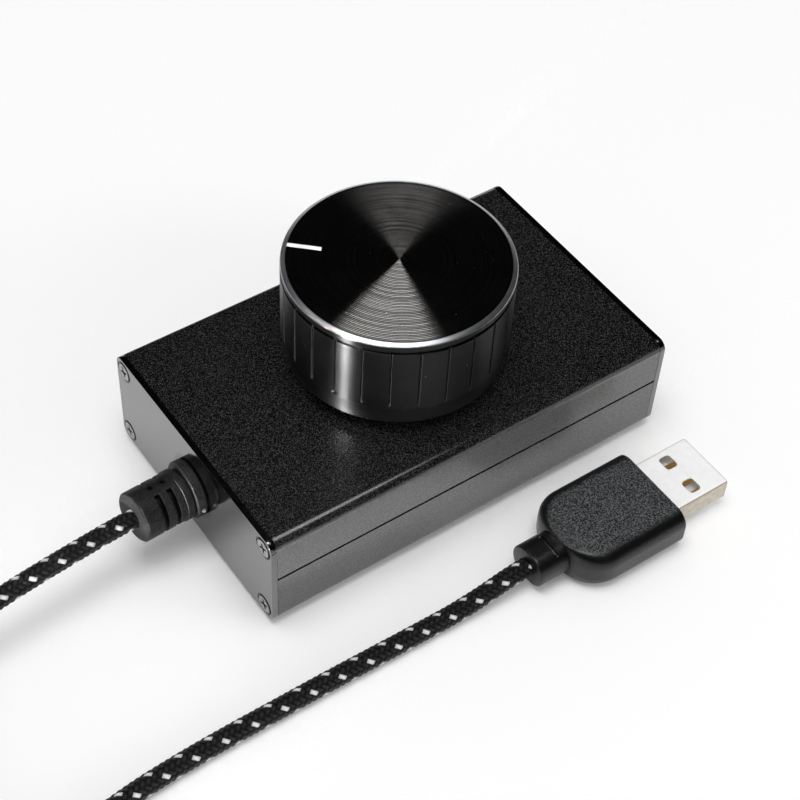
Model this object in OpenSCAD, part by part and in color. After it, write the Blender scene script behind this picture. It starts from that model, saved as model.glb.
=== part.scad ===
// Desk volume control: a split aluminium case with a push-and-turn knob on top
// and a braided lead that ends in a USB-A plug. Millimetres, +Z up.
// X runs along the case, the lead leaves the -X end, and z = 0 is the surface under the feet.

/* [Case] */
// Overall length of the case, over both end plates
case_l = 82; // [78:1:84]
// Width of the case
case_w = 50; // [50:1:60]
// Height of the case without its feet
case_h = 20.5; // [20.5:0.1:21]
// Radius of the four long edges
edge_r = 1.8; // [1:0.1:2]
// Wall thickness of the two shells
wall_t = 1.4; // [1.2:0.1:1.5]
// Thickness of each end plate
plate_t = 1.1; // [1:0.1:1.5]
// Height of the line where the shells part, above the case's underside
parting_z = 11.3; // [11:0.1:11.6]
// Height of the rubber feet
foot_h = 1; // [0.5:0.1:2]
// Diameter of a rubber foot
foot_d = 8; // [6:0.5:10]

/* [Screws] */
// Distance of the end plate screws from the case's middle, across
screw_y = 22.5; // [22:0.1:22.6]
// Distance of the screws from the case's top and underside
screw_inset = 2.5; // [2.2:0.1:2.6]
// Diameter of a countersunk screw head
screw_head_d = 3.7; // [3.4:0.1:3.8]
// Diameter of a screw shank
screw_d = 2.4; // [2:0.1:2.4]
// Length of a screw
screw_l = 8; // [6:0.5:10]

/* [Knob] */
// Diameter of the knob
knob_d = 39.5; // [34:0.5:44]
// Height of the knob
knob_h = 19; // [17:0.5:22]
// Gap between the knob's rim and the case
knob_gap = 2.7; // [2.5:0.1:4]
// Width of the bright cut edge round the face
bevel_w = 0.9; // [0.4:0.1:1.4]
// Height of the bright cut edge
bevel_h = 0.35; // [0.2:0.05:0.8]
// Number of grooves round the knob's wall
groove_count = 26; // [12:1:40]
// Width of a groove
groove_w = 0.35; // [0.2:0.05:0.8]
// Direction in which the pointer stands at rest, in degrees from +X
pointer_angle = 137; // [0:1:359]
// Length of the pointer line
pointer_l = 5.8; // [3:0.1:10]
// Width of the pointer line
pointer_w = 0.8; // [0.5:0.1:1.5]

/* [Encoder] */
// Diameter of the shaft that carries the knob
shaft_d = 6; // [5:0.5:6]
// Diameter of the threaded bushing
bushing_d = 7; // [7:0.1:8]
// Height of the encoder's body above the circuit board
encoder_h = 6.5; // [6.5:0.1:7]
// How far the knob goes down when it is pressed
press_travel = 0.5; // [0.3:0.1:0.5]

/* [Lead] */
// Length of the strain relief outside the case
relief_l = 12; // [10.5:0.5:13]
// Diameter of the strain relief's barrel
relief_d = 9.1; // [8:0.1:9.4]
// Diameter of the strain relief's flange
flange_d = 10.5; // [10:0.1:12]
// How far the lead pulls the strain relief aside, in degrees
relief_yaw = 5; // [0:0.5:6]
// How far the strain relief points upward, in degrees
relief_lift = 3.4; // [0:0.2:4]

/* [Plug] */
// Length of the metal shell that shows
shell_l = 12.2; // [11.8:0.1:12.4]
// Width of the plug's grip
grip_w = 18.4; // [16:0.2:19]
// Length of the grip without its neck
grip_l = 21.6; // [18:0.2:24]
// Height of the grip
grip_h = 8; // [7.5:0.1:9]

/* [Hidden] */
$fn = 64;

cut = 0.1;                       // how far a cutting shape runs past the face it cuts
fit = 0.05;                      // radial clearance of a part that turns or slides in another

// Standard sizes: the lead and the metal shell of a USB-A plug
cord_d = 3.5;
shell_w = 12;
shell_h = 4.5;

// Levels above the table
case_top = foot_h + case_h;
ceiling = case_top - wall_t;
board_t = 1.6;
board_top = ceiling - encoder_h;
board_bottom = board_top - board_t;
knob_bottom = case_top + knob_gap;
knob_top = knob_bottom + knob_h;

// Shells
seam_h = 0.4;                    // height of the open line between the shells
lip_t = 0.65;                    // thickness of the lower shell's lip behind that line
lip_h = 1.8;
rail_w = 1.4;                    // ledges that hold the board's long edges
rail_h = 1.2;
shell_len = case_l - 2 * plate_t;
inner_w = case_w - 2 * wall_t;
boss_d = 4.1;
hole_play = 0.4;                 // how much wider a hole is than what goes through it
sink_depth = 0.7;                // depth of a countersink

// Board and its parts
board_l = 70;
board_w = inner_w - 0.4;
// Encoder pins: three of the encoder, two of the switch
pin_places = [[-2.5, -7.5], [0, -7.5], [2.5, -7.5], [-2.5, 7.5], [2.5, 7.5]];
pin_w = 0.8;
pin_t = 0.3;
chip_place = [18, -6];
crystal_place = [18, 6.5];
// Board socket for the lead, with four wires side by side
socket_x = -25;
socket_l = 7;
socket_w = 10;
socket_h = 4.6;
wire_pitch = [-3, -1, 1, 3];
socket_wire_z = board_bottom - 2.3;

// Encoder
encoder_w = 12;
rotor_d = 9.2;
rotor_h = 2.3;
rotor_z = board_top + 2.9;       // underside of the rotor
bushing_top = ceiling + 7;
tip_d = 4;                       // thin lower end of the shaft
tip_flat = 1.5;                  // distance of that end's flat from the axis
shaft_top = ceiling + 20;
shoulder_z = ceiling + 0.9;
tip_z = board_top + 2.52;
plunger_gap = 0.02;              // play between the shaft's end and the plunger
plunger_h = 1.1;
plunger_d = 2.8;
dome_h = 0.7;
dome_z = tip_z - plunger_gap - plunger_h - dome_h;
nut_af = 10;
nut_h = 2;
washer_h = 0.5;

// Knob
knob_r = knob_d / 2;
face_r = knob_r - bevel_w;
band_h = 1.1;                    // plain band under the bright edge
neck_h = 0.7;                    // turned recess under that band
neck_depth = 0.45;
foot_band_h = 3.8;               // smooth band at the knob's lower rim
foot_taper = 0.5;
knob_wall = 3;
knob_roof = 4.5;
boss_r = 7.5;
boss_bottom = bushing_top + press_travel + 0.4;
bore_top = shaft_top + 0.3;
set_screw_d = 3;
set_screw_z = knob_bottom + 7.5;
groove_start = pointer_angle - 2;
set_screw_angle = groove_start - 6.5 * 360 / groove_count;

// Lead
cord_r = cord_d / 2;
exit_z = foot_h + case_h / 2;
plate_face = -case_l / 2;
relief_neck_r = 3.4;             // radius of the strain relief in the plate's hole
relief_end = [plate_face - relief_l * cos(relief_lift) * cos(relief_yaw),
              -relief_l * cos(relief_lift) * sin(relief_yaw), exit_z + relief_l * sin(relief_lift)];
inner_end_x = plate_face + 5;
coil_centre = [-124, -27];
coil_outer_r = 22.5;             // radius of the outermost turn's middle
coil_inner_r = 12;               // radius of the innermost turn's middle
coil_layers = 4;
coil_h = coil_layers * cord_d;

// Plug, which lies on the table with its neck's end at plug_x
plug_x = 0;
plug_y = -40.6;
plug_z = grip_h / 2;
neck_l = 6;
neck_w = 8;
neck_thick = 6.6;
shell_t = 0.3;
shell_in_grip = 7;
grip_front = neck_l + grip_l;
window_y = 3.1;
insert_h = 1.85;
insert_z = -shell_h / 2 + shell_t + 0.02;
contact_y = [-3.5, -1, 1, 3.5];
contact_w = 1;
contact_t = 0.2;
contact_back = 2;                // how far the contacts reach back into the grip
contact_l = shell_l - 1.4;

// Route of the lead from the strain relief to the coil's top layer
near_route = [relief_end, [-59, -1.6, 12.2], [-66, -2.2, 12.2], [-73, -2.7, 11.9],
              [-80, -3.3, 11.5], [-87, -3.8, 11.2], [-94, -4.2, 11.1], [-101, -4.5, 11.3],
              [-108, -4.5, 11.7], [-116, -4.5, 12.1], [-124, -4.5, 12.25]];
// Route from the coil's lowest layer along the table to the plug
far_route = [[-124, -49.5, 1.75], [-116, -49.3, 1.75], [-108, -48.1, 1.75], [-100, -46.1, 1.75],
             [-92, -43.7, 1.75], [-84, -41.5, 1.75], [-76, -40.3, 1.75], [-67, -39.8, 1.75],
             [-58, -39.7, 1.75], [-49, -39.8, 1.75], [-40, -39.9, 1.75], [-31, -40.1, 1.75],
             [-22, -40.3, 1.75], [-15, -40.5, 2.0], [-9, -40.6, 2.8], [-4, -40.6, 3.7],
             [plug_x, plug_y, plug_z]];

// ---- helpers ----

// Rectangle with round corners, centred
module rounded_rect(w, h, r) {
    square([w - 2 * r, h], center = true);
    square([w, h - 2 * r], center = true);
    for (sx = [-1, 1], sy = [-1, 1]) translate([sx * (w / 2 - r), sy * (h / 2 - r)]) circle(r);
}

// Extrudes a drawing of the Y-Z plane along X, centred
module along_x(length) {
    rotate([90, 0, 90]) linear_extrude(length, center = true) children();
}

// Cylinder along X that starts at x and goes towards +X
module rod_x(x, length, r) {
    translate([x, 0, 0]) rotate([0, 90, 0]) cylinder(h = length, r = r);
}

function unit(v) = v / norm(v);

// Direction of a route at its point i
function heading(p, i) = unit(p[min(i + 1, len(p) - 1)] - p[max(i - 1, 0)]);

// Ring of points round a route's point i, in the plane across the route
function ring(p, i, r, sides) =
    let (h = heading(p, i), side = unit(cross(h, [0, 0, 1])), up = cross(side, h))
    [for (k = [0 : sides - 1]) p[i] + r * (cos(360 * k / sides) * up + sin(360 * k / sides) * side)];

// Tube swept along a route
module tube(p, r, sides = 8) {
    rings = [for (i = [0 : len(p) - 1]) each ring(p, i, r, sides)];
    last = (len(p) - 1) * sides;
    walls = [for (i = [0 : len(p) - 2], k = [0 : sides - 1])
             let (a = i * sides, n = (k + 1) % sides) [a + k, a + n, a + sides + n, a + sides + k]];
    start = [for (k = [0 : sides - 1]) sides - 1 - k];
    end = [for (k = [0 : sides - 1]) last + k];
    polyhedron(rings, concat([start, end], walls), convexity = 6);
}

// ---- case ----

module case_outline() {
    translate([0, case_h / 2]) rounded_rect(case_w, case_h, edge_r);
}

// Round channels in the corners that take the end plate screws, at one height
module screw_channels(z) {
    for (s = [-1, 1]) translate([s * screw_y, z]) circle(d = boss_d);
}

module screw_bores(z) {
    for (s = [-1, 1]) translate([s * screw_y, z]) circle(d = screw_d + 2 * fit);
}

module top_section() {
    lip_top = parting_z - seam_h / 2 + lip_h;
    difference() {
        union() {
            difference() {
                case_outline();
                translate([-case_w, -case_h]) square([2 * case_w, case_h + parting_z + seam_h / 2]);
                translate([-inner_w / 2, 0]) square([inner_w, case_h - wall_t]);
                for (s = [-1, 1]) translate([s * (inner_w / 2 + lip_t / 2), parting_z])
                    square([lip_t + 2 * fit, 2 * (lip_top - parting_z)], center = true);
            }
            intersection() {
                case_outline();
                screw_channels(case_h - screw_inset);
            }
            for (s = [-1, 1]) translate([s * (inner_w - rail_w) / 2, lip_top + rail_h / 2])
                square([rail_w, rail_h], center = true);
        }
        screw_bores(case_h - screw_inset);
    }
}

module bottom_section() {
    difference() {
        union() {
            difference() {
                case_outline();
                translate([-case_w, parting_z - seam_h / 2]) square([2 * case_w, case_h]);
                translate([-inner_w / 2, wall_t]) square([inner_w, case_h]);
            }
            for (s = [-1, 1]) {
                translate([s * (inner_w + lip_t) / 2, parting_z - seam_h / 2 + lip_h / 2])
                    square([lip_t, lip_h], center = true);
                translate([s * (inner_w - rail_w) / 2, board_bottom - foot_h - rail_h / 2])
                    square([rail_w, rail_h], center = true);
            }
            intersection() {
                case_outline();
                screw_channels(screw_inset);
            }
        }
        screw_bores(screw_inset);
    }
}

module top_shell() {
    color([0.09, 0.09, 0.09])
    difference() {
        translate([0, 0, foot_h]) along_x(shell_len) top_section();
        translate([0, 0, ceiling - cut]) cylinder(h = wall_t + 2 * cut, d = bushing_d + hole_play);
    }
}

module bottom_shell() {
    color([0.09, 0.09, 0.09])
    translate([0, 0, foot_h]) along_x(shell_len) bottom_section();
}

// Places a thing at each of the four screws of one end plate, pointing away from the case
module at_screws(side) {
    for (s = [-1, 1], z = [screw_inset, case_h - screw_inset])
        translate([side * case_l / 2, s * screw_y, foot_h + z]) rotate([0, side * 90, 0]) children();
}

module end_plate(side) {
    difference() {
        translate([side * (case_l - plate_t) / 2, 0, foot_h]) along_x(plate_t) case_outline();
        at_screws(side) {
            translate([0, 0, -plate_t - cut]) cylinder(h = plate_t + 2 * cut, d = screw_d + hole_play);
            translate([0, 0, -sink_depth])
                cylinder(h = sink_depth + fit, d1 = screw_d + hole_play, d2 = screw_head_d + hole_play);
        }
    }
}

module cord_end_plate() {
    color([0.45, 0.45, 0.45])
    difference() {
        end_plate(-1);
        translate([0, 0, exit_z]) rod_x(plate_face - cut, plate_t + 2 * cut, relief_neck_r + fit);
    }
}

module far_end_plate() {
    color([0.45, 0.45, 0.45]) end_plate(1);
}

module cross_recess() {
    slot_l = 2.1;
    slot_w = 0.45;
    slot_depth = 0.55;
    for (a = [0, 90]) rotate(a) translate([-slot_l / 2, -slot_w / 2, -slot_depth]) cube([slot_l, slot_w, 1]);
}

module countersunk_screw() {
    head_h = 0.55;
    proud = 0.1;
    crown_d = screw_head_d - 0.4;
    difference() {
        union() {
            translate([0, 0, proud - head_h]) cylinder(h = head_h - proud, d1 = screw_d, d2 = screw_head_d);
            cylinder(h = proud, d1 = screw_head_d, d2 = crown_d);
            translate([0, 0, -screw_l]) cylinder(h = screw_l - head_h + proud, d = screw_d);
        }
        cross_recess();
    }
}

module cord_end_screws() {
    color([0.2, 0.2, 0.2]) at_screws(-1) rotate(20) countersunk_screw();
}

module far_end_screws() {
    color([0.2, 0.2, 0.2]) at_screws(1) rotate(35) countersunk_screw();
}

module rubber_feet() {
    foot_inset = 8;
    taper = 0.6;
    color([0.07, 0.07, 0.07])
    for (sx = [-1, 1], sy = [-1, 1])
        translate([sx * (case_l / 2 - foot_inset), sy * (case_w / 2 - foot_inset), 0])
            cylinder(h = foot_h, d1 = foot_d - taper, d2 = foot_d);
}

// ---- circuit board ----

module circuit_board() {
    hole_d = 1.2;
    wire_hole_d = 0.9;
    color([0.05, 0.3, 0.15])
    difference() {
        translate([-board_l / 2, -board_w / 2, board_bottom]) cube([board_l, board_w, board_t]);
        for (p = pin_places) translate([p[0], p[1], board_bottom - cut])
            cylinder(h = board_t + 2 * cut, d = hole_d);
        for (y = wire_pitch) translate([socket_x, y, board_bottom - cut])
            cylinder(h = board_t + 2 * cut, d = wire_hole_d);
    }
}

module controller_chip() {
    chip_w = 7;
    chip_h = 1.2;
    leg_pitch = 0.8;
    leg_w = 0.3;
    leg_l = 1;
    color([0.05, 0.05, 0.05])
    translate([chip_place[0], chip_place[1], board_bottom]) {
        translate([-chip_w / 2, -chip_w / 2, -chip_h]) cube([chip_w, chip_w, chip_h - 0.1]);
        for (a = [0, 90, 180, 270], k = [-3.5 : 3.5]) rotate(a)
            translate([k * leg_pitch - leg_w / 2, -chip_w / 2 - leg_l + cut, -leg_w])
                cube([leg_w, leg_l, leg_w]);
    }
}

module crystal() {
    can = [10.2, 4.6, 3.5];
    end_r = 2.2;
    color([0.75, 0.75, 0.75])
    translate([crystal_place[0], crystal_place[1], board_bottom - can[2]])
        linear_extrude(can[2]) rounded_rect(can[0], can[1], end_r);
}

module capacitors() {
    can_d = 5;
    can_h = 5.4;
    chip = [2, 1.2, 0.9];
    color([0.6, 0.55, 0.4]) {
        for (y = [-10, 10]) translate([-16, y, board_bottom - can_h]) cylinder(h = can_h, d = can_d);
        for (x = [8, 11], y = [-12, 12]) translate([x, y - chip[1] / 2, board_bottom - chip[2]]) cube(chip);
    }
}

module resistors() {
    chip = [2, 1.2, 0.5];
    row = [-4, 17];
    pitch = 3;
    color([0.1, 0.1, 0.1])
    for (k = [0 : 4]) translate([row[0] + pitch * k, row[1], board_bottom - chip[2]]) cube(chip);
}

// Open towards the -X end, under the board's cord end
module lead_socket() {
    wall = 0.8;
    depth = 5;
    color([0.9, 0.88, 0.8])
    difference() {
        translate([socket_x - 3, -socket_w / 2, board_bottom - socket_h])
            cube([socket_l, socket_w, socket_h]);
        translate([socket_x - 3 - cut, wall - socket_w / 2, board_bottom - socket_h + wall])
            cube([depth, socket_w - 2 * wall, socket_h - 2 * wall]);
    }
}

module lead_socket_plug() {
    body = [5.8, 8, 2.8];
    back_x = socket_x - 4.2;
    wire_hole_r = 0.55;
    wire_hole_l = 1.6;
    color([0.9, 0.88, 0.8])
    difference() {
        translate([back_x, -body[1] / 2, socket_wire_z - body[2] / 2]) cube(body);
        for (y = wire_pitch) translate([0, y, socket_wire_z]) rod_x(back_x - cut, wire_hole_l, wire_hole_r);
    }
}

// Four insulated wires that fan out from the end of the lead's jacket to the socket
module inner_wires() {
    wire_r = 0.4;
    bundle = 0.6;                // half the pitch of the wires where they leave the jacket
    start_x = inner_end_x;
    mid_x = (start_x + socket_x - 4) / 2;
    colors = ["red", "white", "green", "black"];
    for (i = [0 : 3]) {
        y = wire_pitch[i];
        start_y = sign(y) * bundle;
        start_z = exit_z - 0.4 + (abs(y) > 2 ? bundle : -bundle);
        route = [[start_x, start_y, start_z], [start_x + 1, start_y, start_z],
                 [mid_x, (y + start_y) / 2, (start_z + socket_wire_z) / 2],
                 [socket_x - 4.8, y, socket_wire_z], [socket_x - 2.7, y, socket_wire_z]];
        color(colors[i]) tube(route, wire_r);
    }
}

// ---- encoder ----

module encoder_housing() {
    rotor_play = 0.2;
    dome_seat_d = 5.6;
    color([0.25, 0.25, 0.27])
    difference() {
        translate([-encoder_w / 2, -encoder_w / 2, board_top]) cube([encoder_w, encoder_w, encoder_h]);
        translate([0, 0, rotor_z - rotor_play])
            cylinder(h = rotor_h + 2 * rotor_play, d = rotor_d + 2 * fit);
        translate([0, 0, rotor_z]) cylinder(h = encoder_h, d = shaft_d + 2 * fit);
        translate([0, 0, tip_z - press_travel - cut]) cylinder(h = rotor_h, d = tip_d + 2 * fit);
        translate([0, 0, dome_z]) cylinder(h = plunger_h + dome_h, d = plunger_d + 2 * fit);
        translate([0, 0, dome_z]) cylinder(h = dome_h + cut, d = dome_seat_d);
    }
}

module encoder_bushing() {
    pitch = 0.75;
    thread_z = case_top - 0.5;
    turns = floor((bushing_top - thread_z - 0.4) / pitch);
    outer = bushing_d / 2;
    profile = concat([[shaft_d / 2 + fit, ceiling], [outer, ceiling], [outer, thread_z]],
        [for (k = [0 : turns - 1], e = [[0.5, -0.25], [1, 0]]) [outer + e[1], thread_z + (k + e[0]) * pitch]],
        [[outer - 0.3, bushing_top], [shaft_d / 2 + fit, bushing_top]]);
    color([0.75, 0.75, 0.72]) rotate_extrude() polygon(profile);
}

module encoder_washer() {
    washer_d = 11.5;
    color([0.75, 0.75, 0.75])
    translate([0, 0, case_top]) difference() {
        cylinder(h = washer_h, d = washer_d);
        translate([0, 0, -cut]) cylinder(h = washer_h + 2 * cut, d = bushing_d + 2 * fit);
    }
}

module encoder_nut() {
    corner_d = nut_af / cos(30);
    chamfer = 0.5;
    color([0.8, 0.8, 0.8])
    translate([0, 0, case_top + washer_h]) difference() {
        intersection() {
            cylinder(h = nut_h, d = corner_d, $fn = 6);
            union() {
                cylinder(h = nut_h - chamfer, d = corner_d + cut);
                translate([0, 0, nut_h - chamfer]) cylinder(h = chamfer, d1 = corner_d + cut, d2 = nut_af);
            }
        }
        translate([0, 0, -cut]) cylinder(h = nut_h + 2 * cut, d = bushing_d + 2 * fit);
    }
}

module encoder_pins() {
    drop = 1;                    // how far the pins come out under the board
    arm_z = 1;                   // height of their level ends above the board
    color([0.8, 0.8, 0.78])
    for (p = pin_places) {
        s = sign(p[1]);
        translate([p[0] - pin_w / 2, p[1] - pin_t / 2, board_bottom - drop])
            cube([pin_w, pin_t, board_t + drop + arm_z + pin_t]);
        translate([p[0] - pin_w / 2, min(s * encoder_w / 2, p[1] + s * pin_t / 2), board_top + arm_z])
            cube([pin_w, abs(p[1]) + pin_t / 2 - encoder_w / 2, pin_t]);
    }
}

// Round end with a flat on +X, for the keyed lower end of the shaft
module keyed_disc(r, flat) {
    difference() {
        circle(r);
        translate([flat, -2 * r]) square([r, 4 * r]);
    }
}

module encoder_rotor() {
    color([0.85, 0.85, 0.8])
    translate([0, 0, rotor_z]) difference() {
        cylinder(h = rotor_h, d = rotor_d);
        translate([0, 0, -cut]) linear_extrude(rotor_h + 2 * cut)
            keyed_disc(tip_d / 2 + fit, tip_flat + fit);
    }
}

module switch_dome() {
    rim_r = 2.6;
    sphere_r = (rim_r * rim_r + dome_h * dome_h) / (2 * dome_h);
    half = asin(rim_r / sphere_r);
    thick = 0.1;
    steps = 6;
    outer = [for (k = [0 : steps]) let (a = half * k / steps)
             [sphere_r * sin(a), sphere_r * cos(a) - sphere_r + dome_h]];
    inner = [for (k = [steps : -1 : 0]) let (a = half * k / steps)
             [(sphere_r - thick) * sin(a), max(0, (sphere_r - thick) * cos(a) - sphere_r + dome_h)]];
    color([0.85, 0.85, 0.85]) translate([0, 0, dome_z]) rotate_extrude() polygon(concat(outer, inner));
}

module switch_plunger() {
    color([0.9, 0.9, 0.85])
    translate([0, 0, dome_z + dome_h]) cylinder(h = plunger_h, d = plunger_d);
}

module encoder_shaft() {
    flat_h = 10;
    flat_depth = 1.5;
    chamfer = 0.5;
    color([0.8, 0.8, 0.78])
    difference() {
        union() {
            translate([0, 0, tip_z]) linear_extrude(shoulder_z - tip_z) keyed_disc(tip_d / 2, tip_flat);
            translate([0, 0, shoulder_z]) cylinder(h = shaft_top - shoulder_z - chamfer, d = shaft_d);
            translate([0, 0, shaft_top - chamfer])
                cylinder(h = chamfer, d1 = shaft_d, d2 = shaft_d - 2 * chamfer);
        }
        rotate(set_screw_angle) translate([shaft_d / 2 - flat_depth, -shaft_d, shaft_top - flat_h])
            cube([shaft_d, 2 * shaft_d, flat_h + cut]);
    }
}

// ---- knob ----

module knob_profile() {
    neck_z = knob_h - bevel_h - band_h;
    rim_chamfer = 0.6;
    polygon([[0, knob_h - knob_roof], [boss_r, knob_h - knob_roof],
             [knob_r - knob_wall, knob_h - knob_roof], [knob_r - knob_wall, rim_chamfer],
             [knob_r - knob_wall + rim_chamfer, 0], [knob_r - foot_taper, 0], [knob_r - 0.1, foot_band_h],
             [knob_r, foot_band_h + 0.1], [knob_r, neck_z - neck_h],
             [knob_r - neck_depth, neck_z - neck_h + 0.1], [knob_r - neck_depth, neck_z - 0.05],
             [knob_r, neck_z], [knob_r, knob_h - bevel_h], [face_r, knob_h], [0, knob_h]]);
}

module knob_body() {
    bore_r = shaft_d / 2 + 0.03;
    groove_depth = 0.35;
    groove_z = foot_band_h + 0.4;
    color([0.05, 0.05, 0.05])
    difference() {
        union() {
            translate([0, 0, knob_bottom]) rotate_extrude($fn = 160) knob_profile();
            translate([0, 0, boss_bottom]) cylinder(h = knob_top - knob_roof - boss_bottom + cut, r = boss_r);
        }
        translate([0, 0, boss_bottom - cut]) cylinder(h = bore_top - boss_bottom + cut, r = bore_r);
        for (k = [0 : groove_count - 1]) rotate(groove_start + 360 * k / groove_count)
            translate([knob_r - groove_depth, -groove_w / 2, knob_bottom + groove_z])
                cube([1, groove_w, knob_h - bevel_h - band_h - neck_h / 2 - groove_z]);
        translate([0, 0, set_screw_z]) rotate([0, 90, set_screw_angle])
            cylinder(h = knob_d, d = set_screw_d + 4 * fit);
        pointer_slot(fit);
    }
}

// Straight slot in the knob's face that the pointer fills
module pointer_slot(gap) {
    slot_depth = 0.4;
    rotate(pointer_angle) translate([face_r - pointer_l - gap, -pointer_w / 2 - gap, knob_top - slot_depth])
        cube([pointer_l + 2 * gap, pointer_w + 2 * gap, slot_depth + gap]);
}

module knob_pointer() {
    color([1, 1, 1])
    intersection() {
        pointer_slot(0);
        translate([0, 0, knob_top - 1]) cylinder(h = 1, r = face_r);
    }
}

module knob_set_screw() {
    flat_at = shaft_d / 2 - 1.5;
    screw_len = 4;
    socket_d = 1.5;
    socket_depth = 1.5;
    color([0.3, 0.3, 0.3])
    translate([0, 0, set_screw_z]) rotate([0, 90, set_screw_angle]) difference() {
        translate([0, 0, flat_at + 0.02]) cylinder(h = screw_len, d = set_screw_d);
        translate([0, 0, flat_at + screw_len - socket_depth])
            cylinder(h = socket_depth + cut, d = socket_d / cos(30), $fn = 6);
    }
}

// ---- lead and strain relief ----

// Places a thing on the axis of the strain relief's barrel, which the lead pulls aside;
// its z is the distance from the plate and its x points up
module on_relief_axis() {
    translate([plate_face, 0, exit_z]) rotate([0, relief_lift, relief_yaw]) rotate([0, -90, 0]) children();
}

// The lead's way through the strain relief, bent where it leaves the plate
module lead_way(r, outside, inside) {
    on_relief_axis() cylinder(h = outside, r = r);
    translate([plate_face, 0, exit_z]) sphere(r);
    translate([0, 0, exit_z]) rod_x(plate_face, inside, r);
}

// Flange, neck through the plate and collar behind it
module relief_flange() {
    flange_t = 2;
    edge = 0.3;
    collar_l = 1.6;
    collar_r = relief_neck_r + 1;
    flange_r = flange_d / 2;
    translate([plate_face, 0, exit_z]) rotate([0, -90, 0]) rotate_extrude() polygon([
        [0, -plate_t - collar_l], [collar_r, -plate_t - collar_l], [collar_r, -plate_t - 0.02],
        [relief_neck_r, -plate_t - 0.02], [relief_neck_r, 0.02], [flange_r - edge, 0.02],
        [flange_r, edge], [flange_r, flange_t - edge], [flange_r - edge, flange_t], [0, flange_t]]);
}

// Barrel with two rows of slots, each row cut into two arcs by a bridge
module relief_barrel() {
    barrel_r = relief_d / 2;
    waist_r = barrel_r - 0.35;
    ring_r = barrel_r + 0.15;
    ring_at = [2.9, 4.05];       // where the raised ring beside the flange starts and ends
    slot_at = [5.9, 8.3];        // middles of the two rows of slots
    slot_w = 0.95;
    slot_depth = 1.1;
    bridge_w = 1.4;
    bridge_turn = -6;            // the bridges stand this far off upright
    edge = 0.25;
    on_relief_axis() difference() {
        rotate_extrude() polygon([
            [0, 0.5], [waist_r, 0.5], [waist_r, ring_at[0] - 0.1], [ring_r, ring_at[0]],
            [ring_r, ring_at[1]], [barrel_r, ring_at[1] + 0.1], [barrel_r, relief_l - edge],
            [barrel_r - edge, relief_l], [0, relief_l]]);
        for (z = slot_at) difference() {
            translate([0, 0, z - slot_w / 2]) cylinder(h = slot_w, r = flange_d);
            translate([0, 0, z - slot_w]) cylinder(h = 2 * slot_w, r = barrel_r - slot_depth);
            rotate(bridge_turn) translate([-flange_d, -bridge_w / 2, z - slot_w])
                cube([2 * flange_d, bridge_w, 2 * slot_w]);
        }
    }
}

module strain_relief() {
    play = 0.1;
    color([0.1, 0.1, 0.1])
    difference() {
        union() {
            relief_flange();
            relief_barrel();
        }
        lead_way(cord_r + play, relief_l + cut, inner_end_x - plate_face);
    }
}

module lead_inner_end() {
    color([0.08, 0.08, 0.08]) lead_way(cord_r, relief_l, inner_end_x - plate_face);
}

module lead_near() {
    color([0.08, 0.08, 0.08]) tube(near_route, cord_r);
}

module lead_far() {
    color([0.08, 0.08, 0.08]) tube(far_route, cord_r);
}

module lead_coil() {
    bore = coil_inner_r - cord_r;
    rim = coil_outer_r + cord_r;
    color([0.08, 0.08, 0.08])
    translate([coil_centre[0], coil_centre[1], 0]) rotate_extrude()
        translate([(bore + rim) / 2, coil_h / 2]) rounded_rect(rim - bore, coil_h, cord_r);
}

// ---- plug ----

module at_plug() {
    translate([plug_x, plug_y, plug_z]) children();
}

// Grip seen from above: straight sides, large round shoulders, small front corners
module grip_plan() {
    shoulder_r = 6.5;
    front_r = 1.2;
    half = grip_w / 2;
    for (s = [-1, 1]) {
        translate([neck_l + shoulder_r, s * (half - shoulder_r)]) circle(shoulder_r);
        translate([grip_front - front_r, s * (half - front_r)]) circle(front_r);
    }
    translate([neck_l, shoulder_r - half]) square([grip_l, grip_w - 2 * shoulder_r]);
    translate([neck_l + shoulder_r, -half]) square([grip_l - shoulder_r - front_r, grip_w]);
    translate([neck_l + shoulder_r, front_r - half]) square([grip_l - shoulder_r, grip_w - 2 * front_r]);
}

module plug_grip() {
    ring_at = 4;
    ring_w = 0.4;
    side_r = 2.8;
    neck_side_r = 3.2;
    color([0.1, 0.1, 0.1])
    at_plug() difference() {
        union() {
            intersection() {
                translate([0, 0, -grip_h / 2]) linear_extrude(grip_h) grip_plan();
                translate([grip_front / 2, 0, 0]) along_x(grip_front + 1)
                    rounded_rect(grip_w, grip_h, side_r);
            }
            translate([neck_l / 2 + 0.5, 0, 0]) along_x(neck_l + 1)
                rounded_rect(neck_w, neck_thick, neck_side_r);
        }
        translate([grip_front, 0, 0]) along_x(2 * shell_in_grip)
            square([shell_w, shell_h], center = true);
        for (s = [-1, 1]) translate([ring_at, 0, s * (neck_thick / 2 - 0.15)])
            cube([ring_w, 3, 0.4], center = true);
    }
}

// Folded metal shell with two windows in its upper and lower faces
module plug_shell() {
    full_l = shell_l + shell_in_grip;
    window_x = 6.1;
    window = [2.4, 2.9];
    window_r = 0.7;
    bend_r = 0.6;
    color([0.9, 0.9, 0.9])
    at_plug() difference() {
        translate([grip_front + shell_l - full_l / 2, 0, 0]) along_x(full_l)
            rounded_rect(shell_w, shell_h, bend_r);
        translate([grip_front + shell_l - full_l / 2, 0, 0]) along_x(full_l + 1)
            rounded_rect(shell_w - 2 * shell_t, shell_h - 2 * shell_t, bend_r - shell_t);
        for (s = [-1, 1]) translate([grip_front + window_x, s * window_y, -shell_h])
            linear_extrude(2 * shell_h) rounded_rect(window[0], window[1], window_r);
    }
}

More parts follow.
